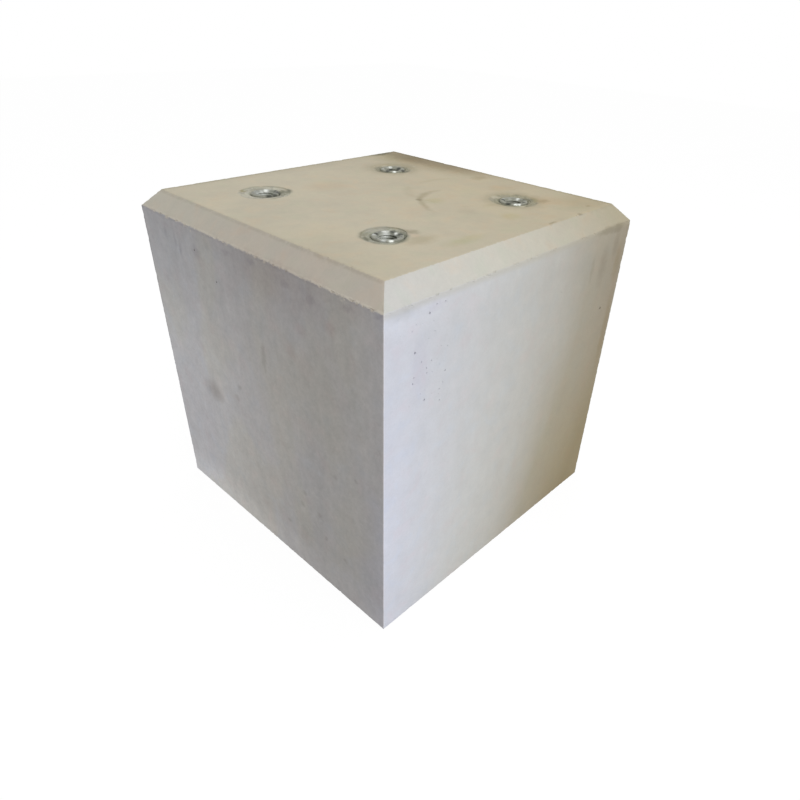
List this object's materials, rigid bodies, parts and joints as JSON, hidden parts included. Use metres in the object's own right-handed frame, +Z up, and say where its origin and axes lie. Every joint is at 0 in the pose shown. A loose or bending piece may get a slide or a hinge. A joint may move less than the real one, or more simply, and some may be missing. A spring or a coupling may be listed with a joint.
{
  "type": "concrete deck pier block",
  "caption": "Cube-shaped concrete deck pier block with a chamfered top and a square of cast-in galvanised threaded sockets for bolting down a post base plate.",
  "frame": {"origin": "middle of the underside, where the block stands on the ground", "axes": "+Z up out of the socketed top; X and Y square to the sides, through the pairs of sockets; -Y is the front"},
  "size_m": [0.3, 0.3, 0.3],
  "materials": {
    "cast_concrete": "smooth formwork-finished precast concrete with fine pits, chipped arrises, cement bloom and light stains",
    "galvanised_steel": "hot-dip galvanised, bright on the rim and dull in the threads, with cement smears",
    "bare_bar_steel": "bare mill-scaled reinforcing bar"
  },
  "bodies": {
    "root": {"concrete_block": "cast_concrete", "threaded_socket_front_left": "galvanised_steel", "threaded_socket_front_right": "galvanised_steel", "threaded_socket_back_left": "galvanised_steel", "threaded_socket_back_right": "galvanised_steel", "anchor_bar_front_left": "bare_bar_steel", "anchor_bar_front_right": "bare_bar_steel", "anchor_bar_back_left": "bare_bar_steel", "anchor_bar_back_right": "bare_bar_steel"}
  },
  "joints": []
}
